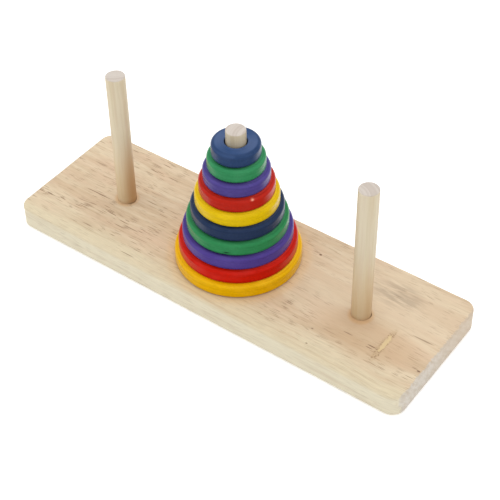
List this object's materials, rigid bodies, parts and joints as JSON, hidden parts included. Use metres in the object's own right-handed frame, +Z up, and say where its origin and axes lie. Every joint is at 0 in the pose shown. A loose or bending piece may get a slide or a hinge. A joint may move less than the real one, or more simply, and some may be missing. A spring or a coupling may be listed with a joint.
{
  "type": "tower of hanoi puzzle",
  "caption": "Wooden disc-stacking puzzle: rounded board, upright dowel pegs in a row, and painted discs of falling size on the middle peg.",
  "frame": {"origin": "centre of the board's underside", "axes": "+X along the board from the left peg to the right peg, +Y to the back, +Z up along the pegs"},
  "size_m": [0.28, 0.09, 0.11],
  "materials": {
    "board_wood": "sanded rubberwood, thin satin lacquer",
    "peg_wood": "sanded hardwood dowel, unpainted",
    "yellow_paint": "turned wood with satin paint",
    "red_paint": "turned wood with satin paint",
    "purple_paint": "turned wood with satin paint",
    "green_paint": "turned wood with satin paint",
    "navy_paint": "turned wood with satin paint",
    "blue_paint": "turned wood with satin paint"
  },
  "bodies": {
    "base": {"base_board": "board_wood", "left_peg": "peg_wood", "middle_peg": "peg_wood", "right_peg": "peg_wood"},
    "disc_01": {"disc_01_yellow": "yellow_paint"},
    "disc_02": {"disc_02_red": "red_paint"},
    "disc_03": {"disc_03_purple": "purple_paint"},
    "disc_04": {"disc_04_green": "green_paint"},
    "disc_05": {"disc_05_navy": "navy_paint"},
    "disc_06": {"disc_06_yellow": "yellow_paint"},
    "disc_07": {"disc_07_red": "red_paint"},
    "disc_08": {"disc_08_purple": "purple_paint"},
    "disc_09": {"disc_09_green": "green_paint"},
    "disc_10": {"disc_10_blue": "blue_paint"}
  },
  "joints": [
    {"name": "lift_disc_01", "type": "slide", "parent": "base", "child": "disc_01", "axis": [0, 0, 1], "range_m": [0, 0.1]},
    {"name": "lift_disc_02", "type": "slide", "parent": "disc_01", "child": "disc_02", "axis": [0, 0, 1], "range_m": [0, 0.0913]},
    {"name": "lift_disc_03", "type": "slide", "parent": "disc_02", "child": "disc_03", "axis": [0, 0, 1], "range_m": [0, 0.0826]},
    {"name": "lift_disc_04", "type": "slide", "parent": "disc_03", "child": "disc_04", "axis": [0, 0, 1], "range_m": [0, 0.0739]},
    {"name": "lift_disc_05", "type": "slide", "parent": "disc_04", "child": "disc_05", "axis": [0, 0, 1], "range_m": [0, 0.0652]},
    {"name": "lift_disc_06", "type": "slide", "parent": "disc_05", "child": "disc_06", "axis": [0, 0, 1], "range_m": [0, 0.0565]},
    {"name": "lift_disc_07", "type": "slide", "parent": "disc_06", "child": "disc_07", "axis": [0, 0, 1], "range_m": [0, 0.0478]},
    {"name": "lift_disc_08", "type": "slide", "parent": "disc_07", "child": "disc_08", "axis": [0, 0, 1], "range_m": [0, 0.0391]},
    {"name": "lift_disc_09", "type": "slide", "parent": "disc_08", "child": "disc_09", "axis": [0, 0, 1], "range_m": [0, 0.0304]},
    {"name": "lift_disc_10", "type": "slide", "parent": "disc_09", "child": "disc_10", "axis": [0, 0, 1], "range_m": [0, 0.0217]}
  ]
}
